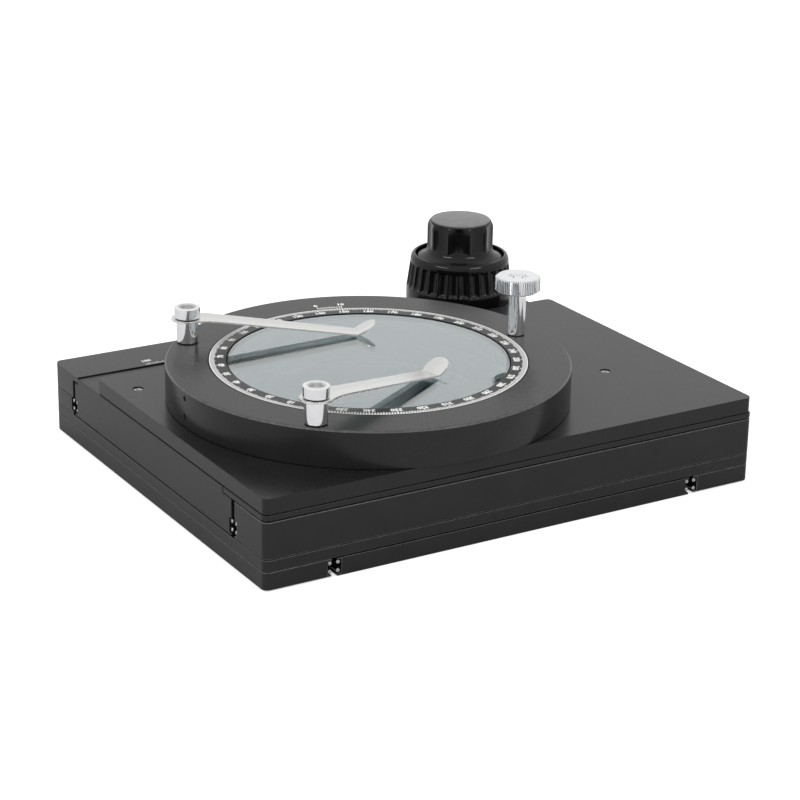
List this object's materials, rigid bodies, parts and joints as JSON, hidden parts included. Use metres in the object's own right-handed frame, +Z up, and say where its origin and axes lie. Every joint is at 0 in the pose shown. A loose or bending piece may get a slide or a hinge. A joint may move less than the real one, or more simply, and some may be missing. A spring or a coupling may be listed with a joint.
{
  "type": "mechanical microscope stage",
  "caption": "Flat two-axis mechanical stage on ball slides with a turning glass disc in a graduated ring, slide clips, a clamp screw and coaxial drive knobs.",
  "frame": {"origin": "centre of the underside of the base plate", "axes": "+X to the right along the long side, +Y to the back where the knobs stand, +Z up"},
  "size_m": [0.275, 0.2511, 0.0947],
  "materials": {
    "black_anodised": "satin black anodised aluminium",
    "grey_anodised": "satin dark grey anodised aluminium",
    "chrome": "polished chrome plate",
    "satin_steel": "satin steel",
    "polished_steel": "ground and polished steel",
    "brass": "machined brass",
    "gloss_black_plastic": "glossy black moulded plastic",
    "grey_cap_plastic": "matte grey moulded plastic",
    "black_rubber": "matte black rubber",
    "glide_plastic": "natural low-friction plastic",
    "plate_glass": "clear polished plate glass"
  },
  "bodies": {
    "root": {"base_plate": "black_anodised", "base_rods_left": "polished_steel", "base_rods_right": "polished_steel", "y_rack": "satin_steel", "y_stop_pin": "polished_steel"},
    "y_cage": {"y_cage_left": "brass", "y_cage_right": "brass"},
    "y_carriage": {"cross_plate": "black_anodised", "left_lip": "black_anodised", "right_lip": "black_anodised", "lip_rods_left": "polished_steel", "lip_rods_right": "polished_steel", "front_bar": "black_anodised", "back_block": "black_anodised", "bar_rods_front": "polished_steel", "bar_rods_back": "polished_steel", "x_stop_pin": "polished_steel", "back_cover": "grey_anodised", "back_screw_1": "polished_steel", "back_screw_2": "polished_steel", "sleeve_bush": "brass", "shaft_bush": "brass"},
    "x_cage": {"x_cage_front": "brass", "x_cage_back": "brass"},
    "x_carriage": {"carriage_body": "black_anodised", "carriage_rods_front": "polished_steel", "carriage_rods_back": "polished_steel", "x_rack": "satin_steel", "front_apron": "black_anodised", "stage_plate": "grey_anodised", "plate_screw_1": "polished_steel", "plate_screw_2": "polished_steel", "plate_screw_3": "polished_steel", "plate_screw_4": "polished_steel", "outer_ring": "grey_anodised", "ring_grub_lower": "satin_steel", "ring_grub_upper": "satin_steel", "glide_ring": "glide_plastic", "clip_post_back": "chrome", "clip_post_front": "chrome", "clip_cap_back": "chrome", "clip_cap_front": "chrome", "clamp_shoe": "brass"},
    "ring_rotor": {"scale_ring": "black_anodised", "glass_plate": "plate_glass", "glass_gasket": "black_rubber"},
    "back_clip": {"clip_leaf_back": "satin_steel"},
    "front_clip": {"clip_leaf_front": "satin_steel"},
    "clamp": {"clamp_head": "chrome", "clamp_spindle": "chrome"},
    "x_drive": {"lower_knob": "gloss_black_plastic", "lower_knob_grub": "polished_steel", "hollow_shaft": "satin_steel", "x_pinion": "brass"},
    "y_drive": {"upper_knob": "gloss_black_plastic", "knob_cap": "grey_cap_plastic", "knob_screw": "polished_steel", "drive_shaft": "satin_steel", "y_pinion": "brass"}
  },
  "joints": [
    {"name": "y_slide", "type": "slide", "parent": "root", "child": "y_carriage", "axis": [0, 1, 0], "range_m": [-0.038, 0.012]},
    {"name": "y_cage_roll", "type": "slide", "parent": "root", "child": "y_cage", "axis": [0, 1, 0], "range_m": [-0.019, 0.006]},
    {"name": "x_slide", "type": "slide", "parent": "y_carriage", "child": "x_carriage", "axis": [1, 0, 0], "range_m": [-0.0325, 0.0425]},
    {"name": "x_cage_roll", "type": "slide", "parent": "y_carriage", "child": "x_cage", "axis": [1, 0, 0], "range_m": [-0.01625, 0.02125]},
    {"name": "y_knob_turn", "type": "hinge", "parent": "y_carriage", "child": "y_drive", "pos_m": [0.1011, 0.101, 0.05], "axis": [0, 0, 1], "range_deg": [-242, 77]},
    {"name": "x_knob_turn", "type": "hinge", "parent": "y_carriage", "child": "x_drive", "pos_m": [0.1011, 0.101, 0.05], "axis": [0, 0, 1], "range_deg": [-207, 271]},
    {"name": "ring_turn", "type": "hinge", "parent": "x_carriage", "child": "ring_rotor", "pos_m": [-0.0287, -0.0205, 0.0575], "axis": [0, 0, 1], "continuous": true},
    {"name": "back_clip_swing", "type": "hinge", "parent": "x_carriage", "child": "back_clip", "pos_m": [-0.09616, 0.04352, 0.0757], "axis": [0, 0, 1], "range_deg": [-12, 100]},
    {"name": "front_clip_swing", "type": "hinge", "parent": "x_carriage", "child": "front_clip", "pos_m": [-0.09469, -0.08603, 0.0757], "axis": [0, 0, 1], "range_deg": [-100, 12]},
    {"name": "clamp_turn", "type": "hinge", "parent": "x_carriage", "child": "clamp", "pos_m": [0.05581, -0.02434, 0.075], "axis": [0, 0, 1], "range_deg": [0, 270]}
  ],
  "couplings": [
    {"joint": "y_cage_roll", "follows": "y_slide", "ratio": 0.5},
    {"joint": "x_cage_roll", "follows": "x_slide", "ratio": 0.5},
    {"joint": "y_knob_turn", "follows": "y_slide", "rad_per_m": 111.11},
    {"joint": "x_knob_turn", "follows": "x_slide", "rad_per_m": 111.11}
  ]
}
